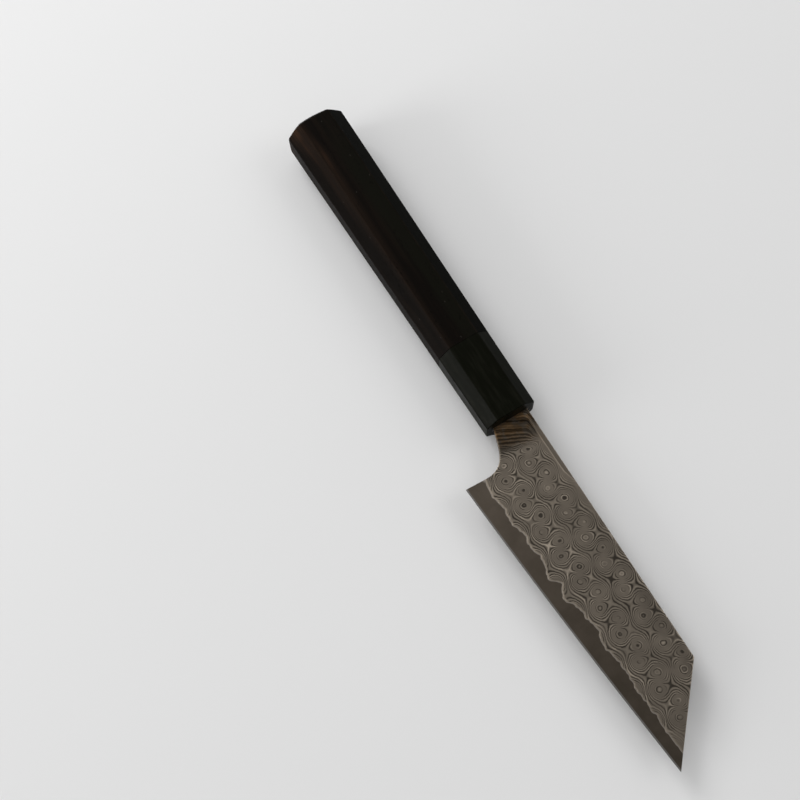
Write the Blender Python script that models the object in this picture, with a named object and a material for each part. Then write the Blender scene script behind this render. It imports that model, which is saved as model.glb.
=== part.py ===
# Paring knife with an angled tip, a three-layer forge-welded blade and an octagonal wooden
# handle on a hidden tang. Metres, +Z up. The knife lies on the lower flat of its handle, with
# the tip towards +X and the spine towards +Y.
#
# Everything is drawn in the knife's own frame first: x runs forward from the ferrule's front
# face, y up from the handle's axis towards the spine, z out of the blade's right face.

import math

import bmesh
import bpy
from mathutils import Vector

for old_object in list(bpy.data.objects):
    bpy.data.objects.remove(old_object, do_unlink=True)

# Blade outline
EDGE_LENGTH = 0.0902  # cutting edge, heel to tip
EDGE_BELLY = 0.0005  # the edge bows out by this amid its length
EDGE_RISE = math.radians(4.45)  # the edge climbs towards the tip
SPINE_FALL = math.radians(0.30)  # the spine sinks towards the tip
TIP_ANGLE = math.radians(42.0)  # the straight tip line against the handle's axis
HEEL_HEIGHT = 0.0267  # spine to heel
NECK_LENGTH = 0.0106  # ferrule to heel
NECK_HEIGHT = 0.0110
CHOIL_LEAN = 0.0008  # the choil's straight foot leans forward by this at the weld line
CHOIL_FALL = math.radians(22.0)  # slope of the choil's curve where it leaves the neck
CHOIL_NECK_PULL = 0.0045  # how far the curve follows the neck's slope
CHOIL_FOOT_PULL = 0.0075  # how far the curve follows the foot's line

# Blade thickness
SPINE_THICKNESS = 0.0019  # at the ferrule
TIP_THICKNESS = 0.0010  # of the spine, carried on above the tip
BEVEL_HEIGHT = 0.00045  # the sharpened bevel above the edge
BEVEL_THICKNESS = 0.00024  # both sides together, at the bevel's top
GRIND_ROUNDNESS = 1.3  # 1 is a flat wedge, more is a convex one
GRIND_RUNOUT = 0.0140  # length over which the grind fades into the neck

# Layers of the blade
CORE_THICKNESS = 0.00056  # hard middle sheet at the ferrule
CORE_TIP_THICKNESS = 0.00026
CLAD_EDGE_THICKNESS = 0.00006  # where a cladding runs out on the core
WELD_GAP = 0.00002
WELD_STEP_RUN = 0.00005  # slope of the small step at the weld line

# Weld line, where the cladding ends above the edge
BAND_HEEL = 0.0060  # at the choil
BAND_HEIGHT = 0.0048
BAND_TIP = 0.0029  # at the tip line
RIPPLES = (  # height, length and place of a crest
    (0.00045, 0.0500, 0.0180),
    (0.00020, 0.0097, 0.0210),
    (0.00015, 0.0043, 0.0205),
)
BAND_HEEL_POWER = 12  # the higher, the sooner the line settles from BAND_HEEL
BAND_TIP_POWER = 3  # the higher, the later it sinks to BAND_TIP
RIPPLE_FADE_POWER = 8  # even; the higher, the later the ripples fade at both ends
RUCK_HEIGHT = 0.0010  # deeper waves amid the blade
RUCK_LENGTH = 0.0068
RUCK_CREST = 0.0457
RUCK_SPREAD = 0.0060

# Hidden tang
NECK_INSET = 0.0030  # the neck's full height goes this far into the ferrule
SHOULDER_RUN = 0.0004
TANG_HEIGHT = 0.0070  # behind the shoulders
TANG_END_HEIGHT = 0.0042
TANG_NOSE_HEIGHT = 0.0024
TANG_NOSE_LENGTH = 0.0016
TANG_END_THICKNESS = 0.0014

# Handle
HANDLE_LENGTH = 0.1100  # ferrule's front face to the crown of the butt
FERRULE_LENGTH = 0.0245
FERRULE_LIP = 0.0022  # above and below the neck
FERRULE_WALL = 0.00155  # beside the bore
FERRULE_SLOT_LAND = 0.0006  # front wall left behind the neck's shoulders
RIDGE_COUNT = 8
FRONT_CHAMFER = 0.0033
FRONT_EASE = 0.0004
BUTT_HEIGHT = 0.0184
BUTT_THICKNESS = 0.0156
BUTT_CHAMFER = 0.0043
BUTT_DOME_RADIUS = 0.0350
BUTT_EASE = 0.0004
RIDGE_EASE = 0.0003  # on each side of the handle's long ridges
BUTT_WALL = 0.0270  # solid wood behind the bore

# Dowel, resin and fits
DOWEL_SLOT_WALL = 0.0012  # wood above and below the tang's slot
DOWEL_END_WALL = 0.0080  # wood behind the slot
DOWEL_CHAMFER = 0.0004
DOWEL_END_ROOM = 0.0003
DOWEL_FIT = 0.00005
GLUE_LINE = 0.00005
RESIN_FILM = 0.0003  # room around the tang in its slot
RESIN_FIT = 0.00003
RESIN_RECESS = 0.0001  # the resin lies this far inside the ferrule's face

# Mesh fineness
BLADE_COLUMNS = 104
CHOIL_COLUMNS = 14
FACE_ROWS = 3
ROUND_SIDES = 40
FLAT_STEPS = 4  # points along each flat at the butt
DOME_STEPS = 3
RIM_ROUNDS = 3  # the rim is worked out this often, as the section widens towards it
CUTTER_OVERRUN = 0.0010
SHADE_ANGLE = math.radians(25.0)

# Sizes that follow from the values above
NECK_HALF = NECK_HEIGHT / 2
SECTION_CORNERS = 2 * RIDGE_COUNT
DOWEL_RADIUS = TANG_HEIGHT / 2 + RESIN_FILM + DOWEL_SLOT_WALL
BORE_RADIUS = DOWEL_RADIUS + DOWEL_FIT
FRONT_HEIGHT = NECK_HEIGHT + 2 * FERRULE_LIP
FRONT_THICKNESS = 2 * (BORE_RADIUS + FERRULE_WALL)
BORE_END = HANDLE_LENGTH - BUTT_WALL
DOWEL_END = BORE_END - DOWEL_END_ROOM
TANG_LENGTH = DOWEL_END - DOWEL_END_WALL - RESIN_FILM
FERRULE_FRONT_WALL = NECK_INSET + SHOULDER_RUN + RESIN_FILM + FERRULE_SLOT_LAND

EDGE_ALONG = Vector((math.cos(EDGE_RISE), math.sin(EDGE_RISE)))
EDGE_UP = Vector((-math.sin(EDGE_RISE), math.cos(EDGE_RISE)))
SPINE_ALONG = Vector((math.cos(SPINE_FALL), -math.sin(SPINE_FALL)))
SPINE_START = Vector((0.0, NECK_HALF))


def spine_at(x):
    return SPINE_START + SPINE_ALONG * (x / SPINE_ALONG.x)


HEEL = spine_at(NECK_LENGTH) - Vector((0.0, HEEL_HEIGHT))
TIP = HEEL + EDGE_ALONG * EDGE_LENGTH
TIP_UP = Vector((-math.cos(TIP_ANGLE), math.sin(TIP_ANGLE)))
TIP_CORNER = TIP_ANGLE + EDGE_RISE
SHOULDER = TIP + TIP_UP * ((SPINE_START - TIP).cross(SPINE_ALONG) / TIP_UP.cross(SPINE_ALONG))
WELD_FIRST = CHOIL_LEAN
WELD_LAST = EDGE_LENGTH - BAND_TIP / math.tan(TIP_CORNER)


def blend(first, last, share):
    return first + (last - first) * share


def clamp(value):
    return min(max(value, 0.0), 1.0)


def smooth_step(value):
    value = clamp(value)
    return value * value * (3 - 2 * value)


def edge_drop(along):
    # How far the bowed edge lies below its straight chord
    share = clamp(along / EDGE_LENGTH)
    return EDGE_BELLY * 4 * share * (1 - share)


def edge_place(point):
    # Distance along the edge from the heel, and height above the edge
    away = point - HEEL
    along = away.dot(EDGE_ALONG)
    return along, away.dot(EDGE_UP) + edge_drop(along)


def from_edge(along, above):
    return HEEL + EDGE_ALONG * along + EDGE_UP * (above - edge_drop(along))


def spine_height(along):
    start_along, start_above = edge_place(SPINE_START)
    return start_above + edge_drop(along) - math.tan(SPINE_FALL + EDGE_RISE) * (along - start_along)


def half_thickness(point):
    # The ground blade in front of the ferrule, and the flat tang behind it
    if point.x < 0:
        return blend(SPINE_THICKNESS, TANG_END_THICKNESS, -point.x / TANG_LENGTH) / 2
    spine_half = blend(SPINE_THICKNESS, TIP_THICKNESS, point.x / TIP.x) / 2
    along, above = edge_place(point)
    rise = clamp((above - BEVEL_HEIGHT) / (spine_height(along) - BEVEL_HEIGHT))
    swell = 1 - (1 - rise) ** GRIND_ROUNDNESS
    ground = blend(BEVEL_THICKNESS / 2, spine_half, swell)
    return blend(spine_half, ground, smooth_step(point.x / GRIND_RUNOUT))


def core_half_thickness(point):
    sheet = blend(CORE_THICKNESS, CORE_TIP_THICKNESS, clamp(point.x / TIP.x)) / 2
    return min(sheet, half_thickness(point) - WELD_GAP - CLAD_EDGE_THICKNESS)


def weld_height(share):
    # Height of the weld line above the edge, from the choil at 0 to the tip line at 1
    x = from_edge(blend(WELD_FIRST, WELD_LAST, share), BAND_HEEL).x
    wave = sum(height * math.cos(math.tau * (x - crest) / length) for height, length, crest in RIPPLES)
    swing = RUCK_HEIGHT * math.cos(math.tau * (x - RUCK_CREST) / RUCK_LENGTH)
    wave += swing * math.exp(-((x - RUCK_CREST) / RUCK_SPREAD) ** 2)
    fade = 1 - (2 * share - 1) ** RIPPLE_FADE_POWER
    heel_part = (BAND_HEEL - BAND_HEIGHT) * (1 - share) ** BAND_HEEL_POWER
    tip_part = (BAND_TIP - BAND_HEIGHT) * share**BAND_TIP_POWER
    return BAND_HEIGHT + heel_part + tip_part + wave * fade


def weld_at(share):
    return from_edge(blend(WELD_FIRST, WELD_LAST, share), weld_height(share))


def bezier(points, share):
    while len(points) > 1:
        points = [first.lerp(last, share) for first, last in zip(points, points[1:])]
    return points[0]


def choil_curve():
    neck = Vector((0.0, -NECK_HALF))
    foot = weld_at(0.0)
    fall = Vector((math.cos(CHOIL_FALL), -math.sin(CHOIL_FALL)))
    rise = (foot - HEEL).normalized()
    return [neck, neck + fall * CHOIL_NECK_PULL, foot + rise * CHOIL_FOOT_PULL, foot]


def tang_stations(grow):
    # Place and half height of the tang's corners from its end to the ferrule's face,
    # with the outline moved outwards by grow
    return [
        (-TANG_LENGTH - grow, TANG_NOSE_HEIGHT / 2 + grow),
        (-TANG_LENGTH + TANG_NOSE_LENGTH, TANG_END_HEIGHT / 2 + grow),
        (-NECK_INSET - SHOULDER_RUN - grow, TANG_HEIGHT / 2 + grow),
        (-NECK_INSET - grow, NECK_HALF + grow),
        (0.0, NECK_HALF + grow),
    ]


def cladding_columns():
    # Lower and upper end of each column of the patterned face, from the tang's end to the tip.
    # The last column has shrunk to one point on the tip line.
    columns = [(Vector((x, -half)), Vector((x, half))) for x, half in tang_stations(0.0)]
    curve = choil_curve()
    spine_first = spine_at(curve[-1].x)
    for step in range(1, CHOIL_COLUMNS):
        share = step / CHOIL_COLUMNS
        columns.append((bezier(curve, share), SPINE_START.lerp(spine_first, share)))
    return columns + [(weld_at(share), top) for share, top in blade_columns(spine_first)]


def blade_columns(spine_first):
    # Share of the blade's length and upper end of each column in front of the choil
    last = weld_at(1.0)
    spine_length = (SHOULDER - spine_first).length
    tip_length = (last - SHOULDER).length
    corner = spine_length / (spine_length + tip_length)
    spine_count = round(BLADE_COLUMNS * corner)
    tip_count = BLADE_COLUMNS - spine_count
    columns = []
    for step in range(spine_count):
        share = step / spine_count
        columns.append((corner * share, spine_first.lerp(SHOULDER, share)))
    for step in range(tip_count + 1):
        share = step / tip_count
        columns.append((blend(corner, 1.0, share), SHOULDER.lerp(last, share)))
    return columns


def is_welded_edge(index, columns):
    # True for the columns in front of the choil, where the core shows below the cladding
    return index >= len(columns) - BLADE_COLUMNS - 1


def face_points(columns, set_back):
    # Grid of points on the patterned face, set back from the weld line
    grid = {}
    last = len(columns) - 1
    for index, (low, high) in enumerate(columns):
        start = low
        if index == last:
            start = high = low + TIP_UP * set_back
        elif is_welded_edge(index, columns):
            start = low + (high - low).normalized() * set_back
        for row in range(FACE_ROWS + 1):
            grid[face_key(index, row, last)] = start.lerp(high, row / FACE_ROWS)
    return grid


def face_key(index, row, last):
    return ("face", index, 0 if index == last else row)


def quad_triangles(low_left, low_right, high_right, high_left):
    # Two triangles, or one where two neighbouring corners are the same
    triangles = [(low_left, low_right, high_right), (low_left, high_right, high_left)]
    return [corners for corners in triangles if len(set(corners)) == 3]


def face_triangles(columns):
    triangles = []
    last = len(columns) - 1
    for index in range(last):
        for row in range(FACE_ROWS):
            corners = [(index, row), (index + 1, row), (index + 1, row + 1), (index, row + 1)]
            triangles += quad_triangles(*[face_key(column, level, last) for column, level in corners])
    return triangles


def band_points(columns):
    # Edge, bevel and weld line of the bare core in front of the choil
    grid = {}
    first = len(columns) - BLADE_COLUMNS - 1
    for index in range(first, len(columns)):
        share, weld = column_share(index, columns), columns[index][0]
        edge = from_edge(EDGE_LENGTH * share, 0.0)
        grid["edge", index] = edge
        grid["bevel", index] = edge.lerp(weld, BEVEL_HEIGHT / edge_place(weld)[1])
        grid["weld", index] = weld
    return grid


def column_share(index, columns):
    along = edge_place(columns[index][0])[0]
    return (along - WELD_FIRST) / (WELD_LAST - WELD_FIRST)


def band_triangles(columns):
    triangles = []
    last = len(columns) - 1
    for index in range(last - BLADE_COLUMNS, last):
        following = index + 1
        levels = [("edge", "bevel"), ("bevel", "weld")]
        for low, high in levels:
            triangles += quad_triangles((low, index), (low, following), (high, following), (high, index))
        step_top = (face_key(following, 0, last), face_key(index, 0, last))
        triangles += quad_triangles(("weld", index), ("weld", following), *step_top)
    return triangles


def raised(point, height):
    return Vector((point.x, point.y, height))


def closed_plate(name, triangles, upper, lower):
    # A closed body between two sheets with the same triangles. Where the sheets meet, they
    # share a vertex; elsewhere their outer edges are joined by a wall.
    body = bmesh.new()
    top = {key: body.verts.new(place) for key, place in upper.items()}
    bottom = {key: top[key] if upper[key] == lower[key] else body.verts.new(lower[key]) for key in lower}
    sides = {}
    for corners in triangles:
        body.faces.new([top[key] for key in corners])
        body.faces.new([bottom[key] for key in reversed(corners)])
        for start, end in zip(corners, corners[1:] + corners[:1]):
            sides[start, end] = True
    for start, end in sides:
        if (end, start) not in sides:
            add_wall(body, [top[end], top[start], bottom[start], bottom[end]])
    return finished(name, body)


def add_wall(body, corners):
    ring = [vert for place, vert in enumerate(corners) if vert is not corners[place - 1]]
    if len(ring) > 2:
        body.faces.new(ring)


def finished(name, body, smooth=False):
    bmesh.ops.recalc_face_normals(body, faces=body.faces)
    mesh = bpy.data.meshes.new(name)
    body.to_mesh(mesh)
    body.free()
    if smooth:
        mesh.shade_smooth()
        mesh.set_sharp_from_angle(angle=SHADE_ANGLE)
    piece = bpy.data.objects.new(name, mesh)
    bpy.context.collection.objects.link(piece)
    return piece


def blade_core():
    columns = cladding_columns()
    face = face_points(columns, WELD_STEP_RUN)
    band = band_points(columns)
    upper = {key: raised(point, core_half_thickness(point)) for key, point in face.items()}
    for key, point in band.items():
        height = 0.0 if key[0] == "edge" else half_thickness(point)
        upper[key] = raised(point, height)
    lower = {key: raised(place, -place.z) for key, place in upper.items()}
    triangles = face_triangles(columns) + band_triangles(columns)
    return closed_plate("blade_core", triangles, upper, lower)


def cladding(name, side):
    # side is 1 for the right face, which looks up, and -1 for the left face
    columns = cladding_columns()
    outer = face_points(columns, WELD_GAP)
    inner = face_points(columns, WELD_GAP + WELD_STEP_RUN)
    last = face_key(len(columns) - 1, 0, len(columns) - 1)
    outer[last] = inner[last]
    outside = {key: raised(point, side * half_thickness(point)) for key, point in outer.items()}
    inside = {}
    for key, point in inner.items():
        inside[key] = raised(point, side * (core_half_thickness(point) + WELD_GAP))
    upper, lower = (outside, inside) if side > 0 else (inside, outside)
    return closed_plate(name, face_triangles(columns), upper, lower)


def tang_block(name, grow, front):
    # The tang's shape grown by one distance all round, cut off square at front
    stations = tang_stations(grow)
    stations[-1] = (front, NECK_HALF + grow)
    upper = {}
    for index, (x, half) in enumerate(stations):
        for level, y in enumerate((-half, half)):
            thickness = half_thickness(Vector((min(x, -GLUE_LINE), y)))
            upper[index, level] = Vector((x, y, thickness + grow))
    lower = {key: raised(place, -place.z) for key, place in upper.items()}
    triangles = []
    for index in range(len(stations) - 1):
        following = index + 1
        triangles += quad_triangles((index, 0), (following, 0), (following, 1), (index, 1))
    return closed_plate(name, triangles, upper, lower)


def octagon_ridges(x, inset):
    share = -x / HANDLE_LENGTH
    high = blend(FRONT_HEIGHT, BUTT_HEIGHT, share) / 2 - inset
    deep = blend(FRONT_THICKNESS, BUTT_THICKNESS, share) / 2 - inset
    chamfer = blend(FRONT_CHAMFER, BUTT_CHAMFER, share) - inset * (2 - math.sqrt(2))
    quarter = [(high, deep - chamfer), (high - chamfer, deep)]
    half = quarter + [(-y, z) for y, z in reversed(quarter)]
    return [Vector(place) for place in half + [(-y, -z) for y, z in half]]


def octagon(x, inset=0.0):
    # Corners of the handle's section at x, as y and z: two for each ridge, which is eased
    ridges = octagon_ridges(x, inset)
    section = []
    for place, ridge in enumerate(ridges):
        for neighbour in (ridges[place - 1], ridges[(place + 1) % RIDGE_COUNT]):
            section.append(ridge + (neighbour - ridge).normalized() * RIDGE_EASE)
    return section


def octagon_ring(body, x, inset=0.0):
    return [body.verts.new((x, corner.x, corner.y)) for corner in octagon(x, inset)]


def dome_x(y, z):
    return -HANDLE_LENGTH + (y * y + z * z) / (2 * BUTT_DOME_RADIUS)


def side_steps(side):
    # The section's odd sides are its flats, the even ones its eased ridges
    return FLAT_STEPS if side % 2 else 1


def butt_point(side, step, forward, shrink):
    # A point round the butt's rim: on the flats, forward of the dome, or shrunk onto the dome
    x = -HANDLE_LENGTH
    for _ in range(RIM_ROUNDS):
        corners = octagon(x)
        place = corners[side].lerp(corners[(side + 1) % SECTION_CORNERS], step / side_steps(side))
        x = dome_x(*place) + forward
    place *= shrink
    return (x if forward else dome_x(*place), place.x, place.y)


def butt_ring(body, forward, shrink):
    ring = []
    for side in range(SECTION_CORNERS):
        for step in range(side_steps(side)):
            ring.append(body.verts.new(butt_point(side, step, forward, shrink)))
    return ring


def join_rings(body, first, second):
    count = len(first)
    for index in range(count):
        following = (index + 1) % count
        body.faces.new((first[index], first[following], second[following], second[index]))


def grip_sides(body, front, rim):
    # Each side of the grip runs from its line on the front octagon to its arc on the rim
    start = 0
    for side in range(SECTION_CORNERS):
        end = start + side_steps(side)
        arc = [rim[index % len(rim)] for index in range(start, end + 1)]
        body.faces.new([front[(side + 1) % SECTION_CORNERS], front[side]] + arc)
        start = end


def handle_body():
    body = bmesh.new()
    front = octagon_ring(body, -FERRULE_LENGTH - GLUE_LINE)
    body.faces.new(front)
    rim = butt_ring(body, BUTT_EASE, 1.0)
    grip_sides(body, front, rim)
    eased = 1 - 2 * BUTT_EASE / BUTT_THICKNESS
    for step in range(DOME_STEPS):
        ring = butt_ring(body, 0.0, eased * (1 - step / DOME_STEPS))
        join_rings(body, rim, ring)
        rim = ring
    crown = body.verts.new((-HANDLE_LENGTH, 0.0, 0.0))
    for index in range(len(rim)):
        body.faces.new((rim[index], rim[(index + 1) % len(rim)], crown))
    grip = finished("handle_body", body, smooth=True)
    cut(grip, turned("grip_bore", [(-BORE_END, BORE_RADIUS), (-FERRULE_LENGTH / 2, BORE_RADIUS)]))
    return grip


def ferrule():
    body = bmesh.new()
    rings = [octagon_ring(body, 0.0, FRONT_EASE), octagon_ring(body, -FRONT_EASE)]
    rings.append(octagon_ring(body, -FERRULE_LENGTH))
    body.faces.new(rings[0])
    join_rings(body, rings[0], rings[1])
    join_rings(body, rings[1], rings[2])
    body.faces.new(rings[2])
    collar = finished("ferrule", body, smooth=True)
    bore_back = -FERRULE_LENGTH - CUTTER_OVERRUN
    bore = turned("ferrule_bore", [(bore_back, BORE_RADIUS), (-FERRULE_FRONT_WALL, BORE_RADIUS)])
    cut(collar, bore)
    cut(collar, tang_block("ferrule_slot", RESIN_FILM, CUTTER_OVERRUN))
    return collar


def turned(name, profile):
    # A round solid along the handle's axis, from places and radii given back to front
    body = bmesh.new()
    rings = []
    for x, radius in profile:
        ring = []
        for side in range(ROUND_SIDES):
            angle = math.tau * side / ROUND_SIDES
            ring.append(body.verts.new((x, radius * math.cos(angle), radius * math.sin(angle))))
        rings.append(ring)
    for first, second in zip(rings, rings[1:]):
        join_rings(body, first, second)
    body.faces.new(rings[0])
    body.faces.new(rings[-1])
    return finished(name, body, smooth=True)


def tang_dowel():
    front = -FERRULE_FRONT_WALL - GLUE_LINE
    narrow = DOWEL_RADIUS - DOWEL_CHAMFER
    profile = [(-DOWEL_END, narrow), (-DOWEL_END + DOWEL_CHAMFER, DOWEL_RADIUS)]
    profile += [(front - DOWEL_CHAMFER, DOWEL_RADIUS), (front, narrow)]
    dowel = turned("tang_dowel", profile)
    cut(dowel, tang_block("dowel_slot", RESIN_FILM, CUTTER_OVERRUN))
    return dowel


def tang_bedding():
    bedding = tang_block("tang_bedding", RESIN_FILM - RESIN_FIT, -RESIN_RECESS)
    cut(bedding, tang_block("bedding_pocket", RESIN_FIT, CUTTER_OVERRUN))
    return bedding


def cut(piece, cutter):
    cutter.hide_render = True
    cutter.display_type = "WIRE"
    boolean = piece.modifiers.new(cutter.name, "BOOLEAN")
    boolean.operation = "DIFFERENCE"
    boolean.solver = "EXACT"
    boolean.object = cutter


def set_material(piece, colour, roughness, metallic):
    material = bpy.data.materials.new(piece.name)
    material.use_nodes = True
    shader = material.node_tree.nodes["Principled BSDF"]
    shader.inputs["Base Color"].default_value = (*colour, 1.0)
    shader.inputs["Roughness"].default_value = roughness
    shader.inputs["Metallic"].default_value = metallic
    piece.data.materials.append(material)


def lay_down(pieces):
    # The handle tapers, so the knife dips its tip a little when the lower flat lies level.
    # The middle of the knife's outline, seen from above, comes to the origin.
    taper = math.atan((BUTT_THICKNESS - FRONT_THICKNESS) / 2 / HANDLE_LENGTH)
    knife = bpy.data.objects.new("knife", None)
    bpy.context.collection.objects.link(knife)
    knife.rotation_euler = (0.0, taper, 0.0)
    for piece in bpy.data.objects:
        if piece is not knife:
            piece.parent = knife
    bpy.context.view_layer.update()
    corners = [piece.matrix_world @ vert.co for piece in pieces for vert in piece.data.vertices]
    middle = [(min(values) + max(values)) / 2 for values in zip(*corners)]
    floor = min(corner.z for corner in corners)
    knife.location = (-middle[0], -middle[1], -floor)


def build():
    finishes = [
        (blade_core(), (0.10, 0.085, 0.075), 0.45, 1.0),
        (cladding("cladding_right", 1), (0.14, 0.12, 0.105), 0.40, 1.0),
        (cladding("cladding_left", -1), (0.14, 0.12, 0.105), 0.40, 1.0),
        (ferrule(), (0.012, 0.013, 0.010), 0.30, 0.0),
        (handle_body(), (0.022, 0.014, 0.010), 0.45, 0.0),
        (tang_dowel(), (0.50, 0.36, 0.20), 0.70, 0.0),
        (tang_bedding(), (0.030, 0.028, 0.024), 0.35, 0.0),
    ]
    for piece, colour, roughness, metallic in finishes:
        set_material(piece, colour, roughness, metallic)
    lay_down([row[0] for row in finishes])


build()
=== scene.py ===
import math

import bmesh
import bpy
from mathutils import Matrix, Quaternion, Vector


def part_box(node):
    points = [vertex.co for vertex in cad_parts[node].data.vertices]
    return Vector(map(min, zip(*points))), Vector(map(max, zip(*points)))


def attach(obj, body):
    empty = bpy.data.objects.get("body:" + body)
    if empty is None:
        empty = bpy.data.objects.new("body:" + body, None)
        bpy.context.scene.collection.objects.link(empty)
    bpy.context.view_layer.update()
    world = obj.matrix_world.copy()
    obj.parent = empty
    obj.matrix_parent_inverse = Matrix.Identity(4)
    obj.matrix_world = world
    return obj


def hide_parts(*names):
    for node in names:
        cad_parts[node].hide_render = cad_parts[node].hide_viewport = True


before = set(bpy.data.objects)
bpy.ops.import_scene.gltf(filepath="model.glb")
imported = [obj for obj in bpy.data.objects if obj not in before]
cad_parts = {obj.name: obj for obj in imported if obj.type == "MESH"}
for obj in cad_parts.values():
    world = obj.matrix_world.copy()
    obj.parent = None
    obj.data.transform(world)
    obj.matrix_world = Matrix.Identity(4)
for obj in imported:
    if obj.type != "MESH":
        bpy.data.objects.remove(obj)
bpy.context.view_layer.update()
millimetre = 0.001
print("frame loaded:", ", ".join(sorted(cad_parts)))

# Pieces are drawn in the knife's own frame, in metres: x runs forward from the ferrule's front
# face, y up from the handle's axis to the spine, z out of the blade's right face.


# Nodes

class Wire:
    # An output of a node; sums, products and comparisons of wires add Math nodes

    def __init__(self, tree, socket):
        self.tree = tree
        self.socket = socket

    def __getitem__(self, name):
        return Wire(self.tree, self.socket.node.outputs[name])

    def __add__(self, other):
        return calc("ADD", self, other)

    def __sub__(self, other):
        return calc("SUBTRACT", self, other)

    def __rsub__(self, other):
        return calc("SUBTRACT", other, self)

    def __mul__(self, other):
        return calc("MULTIPLY", self, other)

    def __truediv__(self, other):
        return calc("DIVIDE", self, other)

    def __gt__(self, other):
        return calc("GREATER_THAN", self, other)

    def __lt__(self, other):
        return calc("LESS_THAN", self, other)


def treeOf(values):
    return next(value.tree for value in values if isinstance(value, Wire))


def feed(node, inputs):
    # inputs maps a socket's name or number to a value or to the wire that feeds it
    for key, value in inputs.items():
        if isinstance(value, Wire):
            value.tree.links.new(value.socket, node.inputs[key])
        else:
            node.inputs[key].default_value = value


def addNode(tree, kind, inputs=None, **settings):
    node = tree.nodes.new(kind)
    for name, value in settings.items():
        setattr(node, name, value)
    feed(node, inputs or {})
    return Wire(tree, node.outputs[0])


def calc(operation, *values):
    # A Vector Math node where a vector or a colour takes part, a Math node otherwise
    tree = treeOf(values)
    if not any(isVector(value) for value in values):
        return addNode(tree, "ShaderNodeMath", dict(enumerate(values)), operation=operation)
    triples = [(value,) * 3 if isinstance(value, (int, float)) else value for value in values]
    result = addNode(tree, "ShaderNodeVectorMath", dict(enumerate(triples)), operation=operation)
    return result["Value"] if operation in ("LENGTH", "DISTANCE", "DOT_PRODUCT") else result


def isVector(value):
    if isinstance(value, Wire):
        return value.socket.type in ("VECTOR", "RGBA")
    return not isinstance(value, (int, float))


def remap(value, low, high, lowResult=0.0, highResult=1.0, kind="SMOOTHSTEP"):
    # Where a look below has two or four numbers for a fade, they are these limits and results
    limits = {0: value, 1: low, 2: high, 3: lowResult, 4: highResult}
    return addNode(value.tree, "ShaderNodeMapRange", limits, interpolation_type=kind)


def noise(place, scale, detail=2.0, roughness=0.5):
    inputs = {"Vector": place, "Scale": scale, "Detail": detail, "Roughness": roughness}
    return addNode(place.tree, "ShaderNodeTexNoise", inputs)


def parts(vector):
    split = addNode(vector.tree, "ShaderNodeSeparateXYZ", {0: vector})
    return [split[name] for name in "XYZ"]


def mixed(share, first, second):
    inputs = {0: share, 2: first, 3: second}
    return addNode(treeOf(inputs.values()), "ShaderNodeMix", inputs)


def mixColours(share, first, second, kind="MIX"):
    inputs = {0: share, 6: first, 7: second}
    tree = treeOf(inputs.values())
    for key in (6, 7):
        if not isinstance(inputs[key], Wire):
            inputs[key] = (*inputs[key], 1.0)
    return addNode(tree, "ShaderNodeMix", inputs, data_type="RGBA", blend_type=kind)[2]


def newGroup(name, inputs, outputs, kind="ShaderNodeTree"):
    # inputs and outputs map each socket's name to its type, or to its type and first value
    tree = bpy.data.node_groups.new(name, kind)
    for label, form in inputs.items():
        form, value = form if isinstance(form, tuple) else (form, None)
        socket = tree.interface.new_socket(name=label, in_out="INPUT", socket_type="NodeSocket" + form)
        if value is not None:
            socket.default_value = value
    for label, form in outputs.items():
        tree.interface.new_socket(name=label, in_out="OUTPUT", socket_type="NodeSocket" + form)
    return tree, addNode(tree, "NodeGroupInput"), tree.nodes.new("NodeGroupOutput")


def useGroup(name, inputs):
    group = bpy.data.node_groups[name]
    return addNode(treeOf(inputs.values()), "ShaderNodeGroup", inputs, node_tree=group)


# Plain numbers and objects

def blend(first, last, share):
    return first + (last - first) * share


def clamp(value):
    return min(max(value, 0.0), 1.0)


def smoothStep(value):
    value = clamp(value)
    return value * value * (3 - 2 * value)


def heading(angle):
    return Vector((math.cos(angle), math.sin(angle)))


def newObject(name, data):
    piece = bpy.data.objects.new(name, data)
    bpy.context.scene.collection.objects.link(piece)
    return piece


def looseObject(name, shape):
    mesh = bpy.data.meshes.new(name)
    shape.to_mesh(mesh)
    shape.free()
    return newObject(name, mesh)


def settledMesh(piece):
    # The piece's mesh with its modifiers applied
    return bpy.data.meshes.new_from_object(piece.evaluated_get(bpy.context.evaluated_depsgraph_get()))


def layPiece(name, mesh, sharpAngle=math.radians(32)):
    # Checks the faces' direction, lays the piece down and shades it
    shape = bmesh.new()
    shape.from_mesh(mesh)
    bmesh.ops.recalc_face_normals(shape, faces=shape.faces)
    shape.to_mesh(mesh)
    shape.free()
    mesh.transform(laidDown)
    mesh.shade_smooth()
    mesh.set_sharp_from_angle(angle=sharpAngle)
    return newObject(name, mesh)


# The blade

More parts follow.
